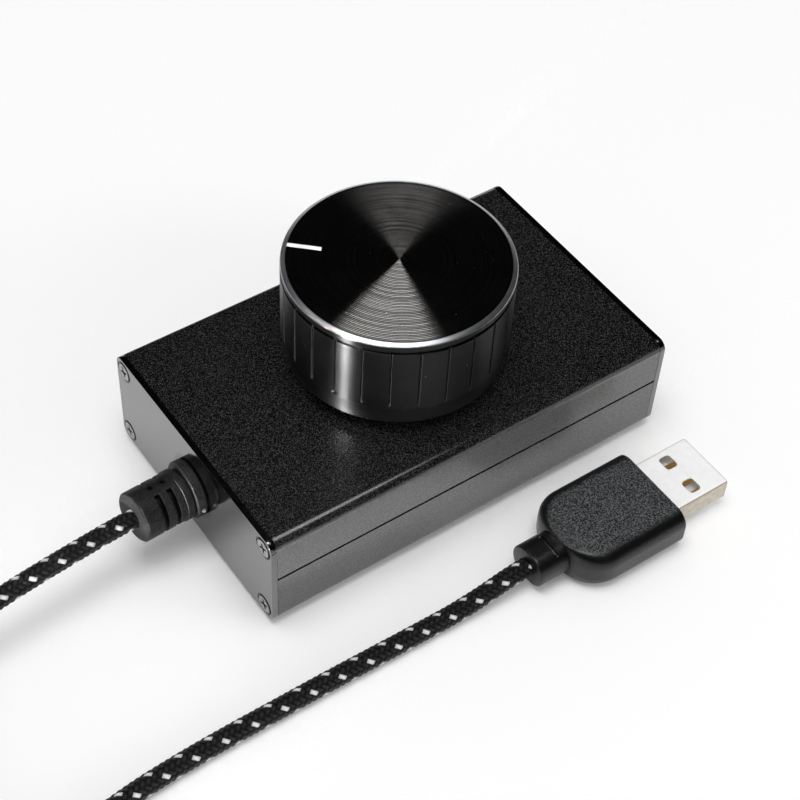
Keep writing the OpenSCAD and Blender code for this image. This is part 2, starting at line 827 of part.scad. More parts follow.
module plug_insert() {
    insert_w = shell_w - 2 * shell_t - 0.2;
    set_back = 0.4;              // how far the insert ends behind the shell's mouth
    color([0.9, 0.9, 0.9])
    at_plug() translate([grip_front - shell_in_grip, -insert_w / 2, insert_z]) difference() {
        cube([shell_in_grip + shell_l - set_back, insert_w, insert_h]);
        for (y = contact_y)
            translate([shell_in_grip - contact_back, insert_w / 2 + y - contact_w / 2 - 0.02,
                       insert_h - contact_t])
                cube([shell_l + contact_back, contact_w + 0.04, contact_t + cut]);
    }
}

module plug_contacts() {
    color([0.85, 0.65, 0.2])
    at_plug() for (y = contact_y)
        translate([grip_front - contact_back, y - contact_w / 2, insert_z + insert_h - contact_t])
            cube([contact_back + contact_l, contact_w, contact_t]);
}

top_shell();
bottom_shell();
cord_end_plate();
far_end_plate();
cord_end_screws();
far_end_screws();
rubber_feet();
circuit_board();
controller_chip();
crystal();
capacitors();
resistors();
lead_socket();
lead_socket_plug();
inner_wires();
encoder_housing();
encoder_bushing();
encoder_washer();
encoder_nut();
encoder_pins();
encoder_rotor();
switch_dome();
switch_plunger();
encoder_shaft();
knob_body();
knob_pointer();
knob_set_screw();
strain_relief();
lead_inner_end();
lead_near();
lead_coil();
lead_far();
plug_grip();
plug_shell();
plug_insert();
plug_contacts();
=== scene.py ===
import math

import bpy
import numpy as np
from mathutils import Matrix, Vector


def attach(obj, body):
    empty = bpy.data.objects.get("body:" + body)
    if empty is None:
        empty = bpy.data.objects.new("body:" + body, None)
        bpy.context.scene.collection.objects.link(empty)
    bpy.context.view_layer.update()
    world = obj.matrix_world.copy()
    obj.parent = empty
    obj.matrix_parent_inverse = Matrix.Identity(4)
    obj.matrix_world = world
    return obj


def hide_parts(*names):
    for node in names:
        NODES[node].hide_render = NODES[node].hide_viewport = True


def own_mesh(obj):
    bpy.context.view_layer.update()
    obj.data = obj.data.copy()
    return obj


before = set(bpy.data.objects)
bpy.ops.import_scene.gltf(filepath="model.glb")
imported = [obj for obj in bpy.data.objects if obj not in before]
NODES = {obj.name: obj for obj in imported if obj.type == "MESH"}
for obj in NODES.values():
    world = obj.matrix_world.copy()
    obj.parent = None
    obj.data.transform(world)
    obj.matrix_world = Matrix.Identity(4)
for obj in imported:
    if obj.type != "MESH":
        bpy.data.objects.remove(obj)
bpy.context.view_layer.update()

MM = 0.001

# All sizes below are in millimetres unless a name or a comment says otherwise. They repeat the CAD source.
CASE_L = 82.0
EXIT_Z = 11.25                   # height at which the lead leaves the case
SCREW_Y = 22.5
SCREW_MID_Z = 11.25              # middle between the upper and the lower screws
SCREW_HALF_Z = 7.75              # from there to the screws
CORD_R = 1.75
KNOB_R = 19.75
KNOB_BOTTOM = 24.2
KNOB_H = 19.0
FACE_R = 18.85
WHITE = (1.0, 1.0, 1.0, 1.0)


def add_object(name, data):
    """A new object in the scene."""
    thing = bpy.data.objects.new(name, data)
    bpy.context.scene.collection.objects.link(thing)
    return thing


# ---- camera, as fitted to the photograph ----

CAMERA_PLACE = (-129.635, -170.719, 251.599)
CAMERA_RIGHT = (0.81912936, -0.57211695, 0.04134353)
CAMERA_UP = (0.40782994, 0.6315619, 0.65939692)
CAMERA_BACK = (-0.40336315, -0.52327025, 0.75065732)
LENS = 81.33
SENSOR = 36.0
CLIP_START_M = 0.01


def add_camera():
    camera = add_object("camera", bpy.data.cameras.new("camera"))
    camera.data.lens = LENS
    camera.data.sensor_width = SENSOR
    camera.data.clip_start = CLIP_START_M
    turn = Matrix((CAMERA_RIGHT, CAMERA_UP, CAMERA_BACK)).transposed().to_4x4()
    camera.matrix_world = Matrix.Translation(Vector(CAMERA_PLACE) * MM) @ turn
    bpy.context.scene.camera = camera


# ---- shader helpers ----

NOISE_RANGE = (0.3, 0.7)         # nearly all values of a noise lie between these


def connect(tree, value, socket):
    """Gives an input its value, or the link from a socket."""
    if isinstance(value, bpy.types.NodeSocket):
        tree.links.new(value, socket)
    else:
        socket.default_value = value


def add_node(tree, kind, settings=None, **inputs):
    """A node of that kind. Inputs are given by name, with _ for a space, as values or as sockets."""
    node = tree.nodes.new("ShaderNode" + kind)
    for name, value in (settings or {}).items():
        setattr(node, name, value)
    wire(tree, node, **inputs)
    return node


def wire(tree, node, **inputs):
    """Gives a node's inputs their values or links, by name, with _ for a space."""
    for name, value in inputs.items():
        connect(tree, value, node.inputs[name.replace("_", " ")])


def calc(tree, operation, *values):
    """The result of a Math node."""
    node = tree.nodes.new("ShaderNodeMath")
    node.operation = operation
    for value, socket in zip(values, node.inputs):
        connect(tree, value, socket)
    return node.outputs[0]


def add_products(tree, a, b, c, d):
    """a * b + c * d."""
    return calc(tree, "ADD", calc(tree, "MULTIPLY", a, b), calc(tree, "MULTIPLY", c, d))


def reach(tree, y, z):
    """Distance from an axis, from the distances along the two others."""
    return calc(tree, "SQRT", add_products(tree, y, y, z, z))


def split(tree, vector):
    """The x, y and z of a vector."""
    return tuple(add_node(tree, "SeparateXYZ", Vector=vector).outputs)


def length(tree, vector):
    """The length of a vector."""
    return add_node(tree, "VectorMath", {"operation": "LENGTH"}, Vector=vector).outputs["Value"]


def blend_colors(tree, share, a, b):
    node = tree.nodes.new("ShaderNodeMix")
    node.data_type = "RGBA"
    for value, socket in zip((share, a, b), (node.inputs[0], node.inputs[6], node.inputs[7])):
        connect(tree, value, socket)
    return node.outputs[2]


def gray(level, warmth=0.0):
    return (level * (1 + warmth), level, level * (1 - warmth), 1.0)


def ramp(tree, value, low, high, to_low=0.0, to_high=1.0):
    """value mapped smoothly from low..high to to_low..to_high."""
    node = add_node(tree, "MapRange", {"interpolation_type": "SMOOTHSTEP"}, Value=value,
                    From_Min=low, From_Max=high, To_Min=to_low, To_Max=to_high)
    return node.outputs[0]


def vary(tree, pattern, low=0.0, high=1.0):
    """A value between low and high that follows a noise."""
    return ramp(tree, pattern, *NOISE_RANGE, low, high)


def object_place(tree):
    return tree.nodes.new("ShaderNodeTexCoord").outputs["Object"]


def surface_normal(tree):
    return split(tree, tree.nodes.new("ShaderNodeTexCoord").outputs["Normal"])


def noise(tree, scale, place=None, detail=2.0, roughness=0.5):
    """Noise with that many cells to a metre."""
    node = add_node(tree, "TexNoise", Vector=place or object_place(tree), Scale=scale, Detail=detail,
                    Roughness=roughness)
    return node.outputs[0]


def cells(tree, scale, place):
    """A node with that many cells to a metre, each in a color of its own."""
    return add_node(tree, "TexVoronoi", Vector=place, Scale=scale)


def specks(tree, scale, size, share, place):
    """1 in small dots of dust: at most one to a cell, in that share of the cells."""
    dots = cells(tree, scale, place)
    chosen = split(tree, dots.outputs["Color"])[0]
    near = calc(tree, "LESS_THAN", dots.outputs["Distance"], size)
    return calc(tree, "MULTIPLY", near, calc(tree, "LESS_THAN", chosen, share))


def new_material(name, **inputs):
    """(material, tree, shader) of a material with one Principled shader, whose inputs get these values."""
    material = bpy.data.materials.new(name)
    material.use_nodes = True
    tree = material.node_tree
    shader = tree.nodes["Principled BSDF"]
    wire(tree, shader, **inputs)
    return material, tree, shader


def bump(tree, height, depth_mm):
    """A normal from a height of 0 to 1 that stands for depth_mm."""
    return add_node(tree, "Bump", Height=height, Distance=depth_mm * MM, Strength=1.0).outputs[0]


def surface(name, color, roughness, metallic=0.0, grain_mm=0.3, depth_mm=0.004, spread=0.25, **inputs):
    """A finish with a fine grain: color is its gray level or its RGB, grain_mm the size of a grain,
    depth_mm its height and spread how far the color varies."""
    broad_grains, fine_share, rough_spread = 12, 0.7, 0.08
    material, tree, shader = new_material(name, Metallic=metallic, **inputs)
    base = gray(color) if isinstance(color, float) else (*color, 1.0)
    fine = noise(tree, 1 / (grain_mm * MM), detail=3.0)
    broad = noise(tree, 1 / (broad_grains * grain_mm * MM))
    share = ramp(tree, add_products(tree, fine, fine_share, broad, 1 - fine_share), 0.35, 0.65)
    low = tuple(c * (1 - spread) for c in base[:3]) + (1.0,)
    high = tuple(min(1.0, c * (1 + spread)) for c in base[:3]) + (1.0,)
    wire(tree, shader, Base_Color=blend_colors(tree, share, low, high),
         Roughness=vary(tree, broad, roughness - rough_spread, roughness + rough_spread),
         Normal=bump(tree, fine, depth_mm))
    return material


# ---- mesh helpers ----

CORNER_STEPS = 3                 # points on a rounded corner, less one


def add_mesh(name, verts, faces):
    """An object from points in millimetres."""
    mesh = bpy.data.meshes.new(name)
    mesh.from_pydata([Vector(v) * MM for v in verts], [], faces)
    return add_object(name, mesh)


def make_piece(name, verts, faces, body, materials, sharp_angle, face_material=None):
    """A piece from points in millimetres, riding on body. face_material gives each face its material."""
    piece = add_mesh(name, verts, faces)
    mesh = piece.data
    for material in materials:
        mesh.materials.append(material)
    if face_material is not None:
        mesh.polygons.foreach_set("material_index", face_material)
    mesh.polygons.foreach_set("use_smooth", [True] * len(mesh.polygons))
    mesh.set_sharp_from_angle(angle=math.radians(sharp_angle))
    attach(piece, body)
    return piece


def around(radius, angle):
    """The point at that radius and angle, in radians, round the origin."""
    return radius * math.cos(angle), radius * math.sin(angle)


def ring_faces(a, b, count_a, count_b):
    """Faces between two closed rings whose first points are a and b and whose counts are equal, or one
    twice or more times the other."""
    if count_a == count_b:
        return [(a + k, a + (k + 1) % count_a, b + (k + 1) % count_a, b + k) for k in range(count_a)]
    if count_a < count_b:
        return [tuple(reversed(f)) for f in ring_faces(b, a, count_b, count_a)]
    ratio = count_a // count_b
    faces = []
    for k in range(count_b):
        near = [a + (k * ratio + j) % count_a for j in range(ratio + 1)]
        faces.append((*near, b + (k + 1) % count_b, b + k))
    return faces


def end_faces(count, total):
    """Faces that close the first and the last ring of a row of rings with count points each."""
    return [tuple(range(count - 1, -1, -1)), tuple(range(total - count, total))]


def round_corners(points):
    """A line of (x, y, radius) points with each corner that has a radius rounded off."""
    out = []
    for i, (x, y, radius) in enumerate(points):
        here = Vector((x, y))
        if radius <= 0 or i in (0, len(points) - 1):
            out.append(here)
            continue
        before = (Vector(points[i - 1][:2]) - here).normalized()
        after = (Vector(points[i + 1][:2]) - here).normalized()
        half = math.acos(max(-1.0, min(1.0, before.dot(after)))) / 2
        cut = radius / math.tan(half)
        centre = here + (before + after).normalized() * (radius / math.sin(half))
        start = here + before * cut - centre
        sweep = start.angle_signed(here + after * cut - centre)
        for k in range(CORNER_STEPS + 1):
            out.append(centre + Matrix.Rotation(-sweep * k / CORNER_STEPS, 2) @ start)
    return out


# ---- lead ----

RELIEF_END = (-52.933, -1.044, 11.962)
NEAR_ROUTE = [RELIEF_END, (-59, -1.6, 12.2), (-66, -2.2, 12.2), (-73, -2.7, 11.9), (-80, -3.3, 11.5),
              (-87, -3.8, 11.2), (-94, -4.2, 11.1), (-101, -4.5, 11.3), (-108, -4.5, 11.7),
              (-116, -4.5, 12.1)]
FAR_ROUTE = [(-116, -49.3, 1.75), (-108, -48.1, 1.75), (-100, -46.1, 1.75), (-92, -43.7, 1.75),
             (-84, -41.5, 1.75), (-76, -40.3, 1.75), (-67, -39.8, 1.75), (-58, -39.7, 1.75),
             (-49, -39.8, 1.75), (-40, -39.9, 1.75), (-31, -40.1, 1.75), (-22, -40.3, 1.75),
             (-15, -40.5, 2.0), (-9, -40.6, 2.8), (-4, -40.6, 3.7), (0, -40.6, 4.0)]
COIL_CENTRE = (-124.0, -27.0)
COIL_OUTER_R = 22.5
COIL_INNER_R = 12.0
COIL_LAYERS = 4
COIL_STEPS = 24                  # points to a turn
LAYER_TURNS = 3
CHANGE_TURNS = 1 / 6             # part of a turn in which the lead goes down to the next layer
SPAN_STEPS = 24                  # points that measure the curve between two points of the route

BRAID_PITCH = 10.9               # length in which a yarn goes once round the lead
BRAID_YARNS = 10                 # yarns in each direction
BRAID_DEPTH = 0.28
BRAID_ROUND = 0.95               # how round a yarn is, up to 1
BRAID_DIP = 0.65                 # share of its height that a yarn loses where it goes under another
WHITE_EVERY = 5                  # one yarn in five is white, in one direction
YARN_THREADS = 4


def coil_route():
    """The coil from its top layer's outside to its lowest layer's outside."""
    total = COIL_LAYERS * LAYER_TURNS + (COIL_LAYERS - 1) * CHANGE_TURNS
    stage = LAYER_TURNS + CHANGE_TURNS
    points = []
    for k in range(round(total * COIL_STEPS) + 1):
        turn = k / COIL_STEPS
        layer = min(int(turn / stage + 1e-9), COIL_LAYERS - 1)
        in_layer = turn - layer * stage
        share = min(in_layer / LAYER_TURNS, 1.0)
        if layer % 2:
            share = 1.0 - share
        radius = COIL_OUTER_R + (COIL_INNER_R - COIL_OUTER_R) * share
        drop = max(0.0, (in_layer - LAYER_TURNS) / CHANGE_TURNS) if layer < COIL_LAYERS - 1 else 0.0
        drop = drop * drop * (3 - 2 * drop)
        z = (2 * (COIL_LAYERS - layer - drop) - 1) * CORD_R
        x, y = around(radius, math.radians(90) + 2 * math.pi * turn)
        points.append((COIL_CENTRE[0] + x, COIL_CENTRE[1] + y, z))
    return points


def smooth_line(points, step):
    """Evenly spaced points, step apart, on a Catmull-Rom curve through the given ones."""
    p = np.array(points, float)
    p = np.vstack([2 * p[0] - p[1], p, 2 * p[-1] - p[-2]])
    t = np.linspace(0, 1, SPAN_STEPS, endpoint=False)[:, None]
    parts = []
    for a, b, c, d in zip(p, p[1:], p[2:], p[3:]):
        parts.append(0.5 * (2 * b + (c - a) * t + (2 * a - 5 * b + 4 * c - d) * t ** 2
                            + (3 * b - a - 3 * c + d) * t ** 3))
    line = np.vstack([*parts, p[-2:-1]])
    along = np.concatenate([[0], np.cumsum(np.linalg.norm(np.diff(line, axis=0), axis=1))])
    even = np.linspace(0, along[-1], round(along[-1] / step) + 1)
    return np.stack([np.interp(even, along, line[:, k]) for k in range(3)], axis=1)


def braid_height(along, turn):
    """Height of the braid, 0 to 1, at a length along the lead and a part of a turn round it."""
    s = BRAID_YARNS * (turn - along / BRAID_PITCH)
    z = BRAID_YARNS * (turn + along / BRAID_PITCH)
    s_over = np.mod(np.floor(s) + np.floor(z), 4) < 2
    across = np.where(s_over, s - np.floor(s), z - np.floor(z))
    float_at = np.where(s_over, np.mod(np.floor(s) + z, 4) / 2, (np.mod(np.floor(z) + s, 4) - 2) / 2)
    crown = np.sqrt(np.clip(1 - (2 * across - 1) ** 2 * BRAID_ROUND, 0, 1))
    return crown * (1 - BRAID_DIP + BRAID_DIP * np.sin(np.pi * np.clip(float_at, 0, 1)))


def add_lead(braid, cut_end):
    """The lead as one braided tube: a fine mesh where the camera sees it, a plainer one in the coil."""
    fine_step, coarse_step, fine_sides, coarse_sides = 0.25, 0.7, 48, 24
    seen_from_x = -90.0
    route = NEAR_ROUTE + coil_route() + FAR_ROUTE
    line = smooth_line(route, fine_step)
    hidden = np.flatnonzero(line[:, 0] < seen_from_x)
    skip = round(coarse_step / fine_step)
    keep = np.concatenate([np.arange(hidden[0]), hidden[::skip], np.arange(hidden[-1] + 1, len(line))])
    along = keep * np.linalg.norm(line[1] - line[0])
    line = line[keep]
    sides = np.where((keep >= hidden[0]) & (keep <= hidden[-1]), coarse_sides, fine_sides)
    heading = np.gradient(line, axis=0)
    heading /= np.linalg.norm(heading, axis=1)[:, None]
    up = np.array([0.0, 0.0, 1.0])
    verts, faces, starts, uvs = [], [], [], []
    for place, ahead, at, count in zip(line, heading, along, sides):
        up = up - ahead * up.dot(ahead)
        up /= np.linalg.norm(up)
        side = np.cross(ahead, up)
        turn = np.arange(count) / count
        radius = CORD_R - BRAID_DEPTH * (1 - braid_height(at, turn))
        angle = 2 * np.pi * turn
        starts.append(len(verts))
        verts.extend(place + radius[:, None] * (np.cos(angle)[:, None] * up + np.sin(angle)[:, None] * side))
        uvs.extend((at / BRAID_PITCH, k) for k in turn)
    for a, b, na, nb in zip(starts, starts[1:], sides, sides[1:]):
        faces.extend(ring_faces(a, b, int(na), int(nb)))
    faces += end_faces(fine_sides, len(verts))
    caps = [0] * (len(faces) - 2) + [1, 1]
    lead = make_piece("usb_lead", verts, faces, "case", [braid, cut_end], 75.0, caps)
    layer = lead.data.uv_layers.new(name="braid")
    for face in lead.data.polygons:
        values = [uvs[lead.data.loops[i].vertex_index] for i in face.loop_indices]
        turns = [v for _, v in values]
        wraps = max(turns) - min(turns) > 0.5
        for i, (u, v) in zip(face.loop_indices, values):
            layer.data[i].uv = (u, v + 1.0 if wraps and v < 0.5 else v)
    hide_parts("lead_near", "lead_coil", "lead_far")
    add_plug_grip()


def braid_material():
    """The weave of braid_height, from the lead's UVs: black yarns and a few white ones, with painted shade
    where the weave is low.
    """
    material, tree, shader = new_material("braid", Roughness=0.42, Sheen_Weight=0.02, Sheen_Roughness=0.4,
                                          Specular_IOR_Level=0.22)
    along, turn, _ = split(tree, add_node(tree, "UVMap", {"uv_map": "braid"}).outputs[0])
    s = calc(tree, "MULTIPLY", calc(tree, "SUBTRACT", turn, along), float(BRAID_YARNS))
    z = calc(tree, "MULTIPLY", calc(tree, "ADD", turn, along), float(BRAID_YARNS))
    s_floor, z_floor = calc(tree, "FLOOR", s), calc(tree, "FLOOR", z)
    weave = calc(tree, "FLOORED_MODULO", calc(tree, "ADD", s_floor, z_floor), 4.0)
    s_over = calc(tree, "LESS_THAN", weave, 1.5)
    z_over = calc(tree, "SUBTRACT", 1.0, s_over)

    def choose(a, b):
        return add_products(tree, a, s_over, b, z_over)

    across = choose(calc(tree, "FRACT", s), calc(tree, "FRACT", z))
    s_float = calc(tree, "FLOORED_MODULO", calc(tree, "ADD", s_floor, z), 4.0)
    z_float = calc(tree, "SUBTRACT", calc(tree, "FLOORED_MODULO", calc(tree, "ADD", z_floor, s), 4.0), 2.0)
    float_at = calc(tree, "MULTIPLY", choose(s_float, z_float), 0.5)
    arch = calc(tree, "SINE", calc(tree, "MULTIPLY", float_at, math.pi))
    threads = calc(tree, "SINE", calc(tree, "MULTIPLY", across, 2 * math.pi * YARN_THREADS))
    crown = calc(tree, "SINE", calc(tree, "MULTIPLY", across, math.pi))
    fuzz = noise(tree, 6000.0)
    yarn_height, thread_height, fuzz_height = 0.5, 0.12, 0.25
    height = calc(tree, "ADD", calc(tree, "MULTIPLY", calc(tree, "MULTIPLY", crown, arch), yarn_height),
                  add_products(tree, threads, thread_height, fuzz, fuzz_height))
    white_yarn = calc(tree, "LESS_THAN", calc(tree, "FLOORED_MODULO", s_floor, float(WHITE_EVERY)), 0.5)
    white = calc(tree, "MULTIPLY", calc(tree, "MULTIPLY", white_yarn, s_over), ramp(tree, arch, 0.05, 0.25))
    # Painted shade: the colour darkens where the weave is low, in the gaps between yarns and threads.
    shade = ramp(tree, height, 0.15, 0.65)
    black = blend_colors(tree, shade, gray(0.0), gray(0.02, 0.03))
    pale = blend_colors(tree, shade, gray(0.45), gray(0.85))
    wire(tree, shader, Base_Color=blend_colors(tree, white, black, pale), Normal=bump(tree, height, 0.16))
    return material


# ---- strain relief ----

BEAD_PLACE = (-42.0, -5.3, 10.9)
BEAD_R = 0.35
SLOT_SHADE_RADII = (4.2, 4.4)        # the painted shade inside the slots fades out between these radii
END_RING = 0.4                   # length at the relief's end that has no painted shade inside


def add_bead(material):
    """A small pale bead on the side of the strain relief's flange."""
    sides, rings = 12, 6
    verts, faces = [], []
    for i in range(1, rings):
        x, radius = around(BEAD_R, math.pi * i / rings)
        verts.extend((x, *around(radius, 2 * math.pi * k / sides)) for k in range(sides))
    for i in range(rings - 2):
        faces += ring_faces(i * sides, (i + 1) * sides, sides, sides)
    faces += end_faces(sides, len(verts))
    verts = [tuple(c + d for c, d in zip(BEAD_PLACE, v)) for v in verts]
    make_piece("relief_bead", verts, faces, "case", [material], 60.0)


def relief_material():
    """Soft black plastic with a fine grain, and painted shade inside the slots. It follows the relief's
    leaning axis.
    """
    material, tree, shader = new_material("relief_rubber", Specular_IOR_Level=0.2)
    place = object_place(tree)
    x, y, z = split(tree, place)
    out = calc(tree, "ADD", x, CASE_L / 2 * MM)
    relief_l = RELIEF_END[0] + CASE_L / 2
    y = calc(tree, "SUBTRACT", y, calc(tree, "MULTIPLY", out, RELIEF_END[1] / relief_l))
    z = calc(tree, "SUBTRACT", z, EXIT_Z * MM)
    z = calc(tree, "SUBTRACT", z, calc(tree, "MULTIPLY", out, (RELIEF_END[2] - EXIT_Z) / relief_l))
    low, high = SLOT_SHADE_RADII
    # Painted shade: black where the surface lies deep in the slots.
    inside = calc(tree, "MULTIPLY", ramp(tree, reach(tree, y, z), low * MM, high * MM, 1.0, 0.0),
                  calc(tree, "GREATER_THAN", x, (RELIEF_END[0] + END_RING) * MM))
    grain = noise(tree, 4800.0, place, roughness=0.6)
    shade = blend_colors(tree, ramp(tree, grain, 0.4, 0.66), gray(0.002), gray(0.024))
    wire(tree, shader, Base_Color=blend_colors(tree, inside, shade, gray(0.0)),
         Roughness=vary(tree, grain, 0.46, 0.56), Normal=bump(tree, grain, 0.03))
    return material


# ---- plug ----

PLUG_Y = -40.6
PLUG_Z = 4.0
NECK_L = 6.0
NECK_HALF_W = 4.0
NECK_HALF_T = 3.3
NECK_SIDE_R = 3.2
NECK_END_R = 0.3                 # rounding where the lead goes in
NECK_RING = (4.0, 0.35, 0.4)     # the groove across the neck: its place, half its width and its depth
NECK_RING_HALF_L = (2.6, 0.5)    # half its length, and the part of that in which it runs out
GRIP_FRONT = 27.6
GRIP_FRONT_R = 0.35
GRIP_HALF_W = 9.2
GRIP_HALF_H = 4.0
GRIP_RISE = 3.2                  # length in which the grip reaches its full height
SHOULDER_R = 6.5
SIDE_R = 2.8
GRAIN_AND_SHEEN_START = 4.9
GRAIN_AND_SHEEN_FADE = (4.0, 3.0)          # lengths in which the grain and its painted sheen rise, from the neck and from the sides
SHELL_HALF = (6.0, 2.25)
SHELL_CORNER_R = 0.6
SHELL_IN_GRIP = 7.0
SHELL_END = 39.8
GRIP_STATIONS = [0.0, 0.05, 0.15, 0.3, 0.8, 1.6, 2.4, 3.0, 3.4, 3.6, 3.65, 3.7, 3.85, 4.0, 4.15, 4.3,
                 4.35, 4.4, 4.6, 5.0, 5.4, 5.7, 5.9]
GRIP_STATIONS += [NECK_L + SHOULDER_R * (1 - math.cos(math.radians(a))) for a in range(0, 91, 5)]
GRIP_STATIONS += [14.0, 16.0, 18.0, 20.0, 22.0, 24.0, 25.5, 26.4, 26.9, 27.2, 27.4, 27.52, GRIP_FRONT]


def rounded_section(half_w, half_h, radius, count):
    """count points round a rectangle with round corners, from +Y, as (y, z)."""
    radius = min(radius, half_w - 0.01, half_h - 0.01)
    flat_y, flat_z = half_w - radius, half_h - radius
    quarter = count // 4
    corners = [(1, 1, 0), (-1, 1, 90), (-1, -1, 180), (1, -1, 270)]
    out = []
    for sy, sz, start in corners:
        for k in range(quarter):
            y, z = around(radius, math.radians(start + 90 * k / (quarter - 1)))
            out.append((sy * flat_y + y, sz * flat_z + z))
    return out


def arc_rise(distance, radius):
    """How far a quarter circle of that radius has risen at a distance from its start, 0 to radius."""
    d = min(max(distance, 0.0), radius)
    return math.sqrt(max(0.0, radius * radius - (radius - d) ** 2))


def clamp(value):
    return min(1.0, max(0.0, value))


def add_plug_grip():
    """The moulded grip and its neck as one lofted skin, open where the metal shell goes in."""
    count = 96
    plan_power, ring_power = 6, 8    # how hard the neck goes over into the shoulders, and the ring's edges
    ring_at, ring_half_w, ring_depth = NECK_RING
    ring_half_l, ring_fade = NECK_RING_HALF_L
    verts, faces, grain = [], [], []
    for x in GRIP_STATIONS:
        back = x - NECK_L
        plan = GRIP_HALF_W - SHOULDER_R + arc_rise(back, SHOULDER_R) if back > 0 else 0.0
        half_w = (plan ** plan_power + NECK_HALF_W ** plan_power) ** (1 / plan_power)
        rise = arc_rise(back, GRIP_RISE) / GRIP_RISE
        half_h = NECK_HALF_T + (GRIP_HALF_H - NECK_HALF_T) * rise
        radius = NECK_SIDE_R + (SIDE_R - NECK_SIDE_R) * rise
        end = NECK_END_R - arc_rise(x, NECK_END_R) + GRIP_FRONT_R - arc_rise(GRIP_FRONT - x, GRIP_FRONT_R)
        half_w, half_h = half_w - end, half_h - end
        in_ring = max(0.0, 1 - (abs(x - ring_at) / ring_half_w) ** ring_power)
        for y, z in rounded_section(half_w, half_h, radius - end * 0.5, count):
            on_flat = clamp((ring_half_l - abs(y)) / ring_fade)
            verts.append((x, PLUG_Y + y, PLUG_Z + z - math.copysign(ring_depth * in_ring * on_flat, z)))
            # The grain attribute also carries a painted sheen, which fades out towards the neck and the
            # sides.
            from_side = (half_w - radius * 0.6 - abs(y)) / GRAIN_AND_SHEEN_FADE[1]
            inset = clamp(from_side) * clamp((x - GRAIN_AND_SHEEN_START) / GRAIN_AND_SHEEN_FADE[0])
            grain.append(inset if abs(z) > half_h - 0.4 else 0.0)
    for i in range(len(GRIP_STATIONS) - 1):
        faces += ring_faces(i * count, (i + 1) * count, count, count)
    mouth = rounded_section(*SHELL_HALF, SHELL_CORNER_R, count)
    for x in (GRIP_FRONT, GRIP_FRONT - SHELL_IN_GRIP):
        verts += [(x, PLUG_Y + y, PLUG_Z + z) for y, z in mouth]
        grain += [0.0] * count
        faces += ring_faces(len(verts) - 2 * count, len(verts) - count, count, count)
    faces += end_faces(count, len(verts))
    faces = [tuple(reversed(f)) for f in faces]
    grip = make_piece("plug_moulding", verts, faces, "case", [grip_material()], 40.0)
    layer = grip.data.attributes.new("grain", "FLOAT", "POINT")
    layer.data.foreach_set("value", grain)
    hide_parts("plug_grip")
    return grip


def grip_material():
    """Soft black plastic, leather-grained where the attribute grain is 1. The grain's light colour is a
    painted sheen, bright in the middle of the grip and fading to black towards its borders.
    """
    material, tree, shader = new_material("plug_moulding", Specular_IOR_Level=0.5)
    where = add_node(tree, "Attribute", {"attribute_name": "grain"}).outputs["Fac"]
    height = noise(tree, 3600.0, roughness=0.6)
    # Painted sheen: the light grain colour grows with the attribute.
    shade = calc(tree, "MULTIPLY", ramp(tree, height, 0.42, 0.64), where)
    wire(tree, shader, Base_Color=blend_colors(tree, shade, gray(0.003), gray(0.36, -0.05)),
         Roughness=ramp(tree, where, 0.0, 1.0, 0.28, 0.45), Normal=bump(tree, height, 0.07))
    return material


def shell_material():
    """The plug's bright shell, with its light and shade painted: nearly white on the flat sides, tan painted
    on the narrow ones as their shade, and thin dark lines painted along the edges as the reflection of a dark
    ceiling.
    """
    material, tree, shader = new_material("plug_steel", Metallic=0.0)
    place = object_place(tree)
    x, y, _ = split(tree, place)
    up = calc(tree, "ABSOLUTE", surface_normal(tree)[2])
    off = calc(tree, "ABSOLUTE", calc(tree, "SUBTRACT", y, PLUG_Y * MM))
    # Painted reflection: thin dark lines along the side edges and the front end.
    side_edge_shade = ramp(tree, off, (SHELL_HALF[0] - 0.3) * MM, (SHELL_HALF[0] - 0.2) * MM)
    end_edge_shade = ramp(tree, x, (SHELL_END - 0.16) * MM, (SHELL_END - 0.08) * MM)
    edge = calc(tree, "MAXIMUM", side_edge_shade, end_edge_shade)
    wear = noise(tree, 900.0, place)
    white = blend_colors(tree, vary(tree, wear), gray(0.93), gray(0.97))
    flat = blend_colors(tree, edge, white, (0.3, 0.25, 0.2, 1.0))
    tan = blend_colors(tree, vary(tree, wear), (0.5, 0.44, 0.35, 1.0), (0.62, 0.56, 0.46, 1.0))
    # By the way a face points, the narrow sides get tan instead of white: painted shade.
    wire(tree, shader, Base_Color=blend_colors(tree, ramp(tree, up, 0.3, 0.8), tan, flat),
         Roughness=vary(tree, wear, 0.32, 0.38), Normal=bump(tree, wear, 0.002))
    return material


# ---- knob ----

GROOVES = 26
GROOVE_START = 135.0             # direction of the first groove, in degrees
GROOVE_SHAPE = [(-0.26, 0.0), (-0.2, 0.04), (-0.15, 0.28), (-0.07, 0.35), (0.07, 0.35), (0.15, 0.28),
                (0.2, 0.04), (0.26, 0.0)]  # (distance from its middle, depth)
LAND_STEPS = 10                  # columns on the wall between two grooves
GROOVE_TOP_Z = 17.2              # where the grooves begin, in the cut under the rim
GROOVE_END_Z = 4.2               # where they end above the knob's underside
GROOVE_RUNOUT = 1.2              # height in which a groove reaches its depth
RUNOUT_POWER = 0.7               # below 1 it gets deep early
MATTE_SHARE = 0.3                # a groove is matte where it has more than this share of its depth
RIM_END_Z = 18.3                 # the bright cut edge stays above this
SET_SCREW_ANGLE = 45.0
SET_SCREW_Z = 31.7
POINTER_ANGLE = 137.0
SPIN_START_R = 0.15
SPIN_PITCH = 0.34                # distance of the turned rings on the face
SPIN_STEEP = 0.26                # share of a ring's width that is its steep side, which faces outward
SPIN_ANGLE = 24.0                # slope of the steep side, in degrees
SPIN_DEPTH = SPIN_PITCH * SPIN_STEEP * math.tan(math.radians(SPIN_ANGLE))
KNOB_SHARP = 20.0                # edges that bend more than this many degrees stay sharp
WALL, EDGE, FACE, GROOVE = range(4)  # the knob's materials
DUST = (550.0, 0.055, 0.22)      # specks of dust: cells to a metre, their size and the share of the cells

